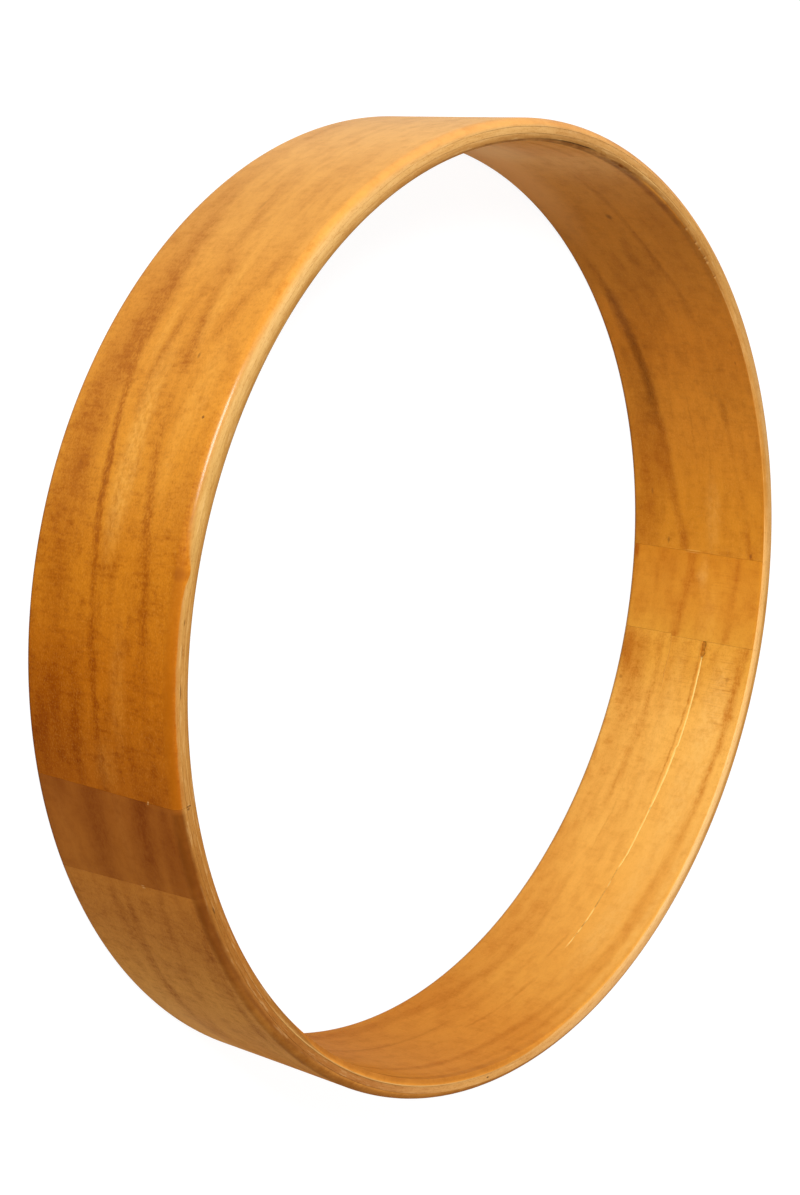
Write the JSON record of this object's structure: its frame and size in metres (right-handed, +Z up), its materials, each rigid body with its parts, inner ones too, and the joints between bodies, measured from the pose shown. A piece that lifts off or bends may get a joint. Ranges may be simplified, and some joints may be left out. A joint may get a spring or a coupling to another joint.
{
  "type": "drum shell",
  "caption": "Shallow bent-wood drum shell: a laminated hoop with rounded bearing edges, patched ply seams and an open bore.",
  "frame": {"origin": "centre of the lower bearing edge, on the surface that the shell stands on", "axes": "+Z up the shell's axis; +X and +Y across it, with the outer patch at about 59 degrees clockwise from +X and the inner patch at about 98 degrees counterclockwise"},
  "size_m": [0.4064, 0.4064, 0.0762],
  "materials": {
    "outer_veneer": "honey-orange varnish over figured wood, grain round the hoop",
    "outer_patch_veneer": "darker brown varnished wood, grain round the hoop",
    "core_wood": "pale yellow wood, sanded edge with a thin seal coat",
    "inner_veneer": "honey varnish over lighter wood, grain round the hoop",
    "inner_patch_veneer": "amber varnished wood, grain round the hoop"
  },
  "bodies": {
    "root": {"outer_ply": "outer_veneer", "outer_patch": "outer_patch_veneer", "core_ply": "core_wood", "inner_ply": "inner_veneer", "inner_patch": "inner_patch_veneer"}
  },
  "joints": []
}
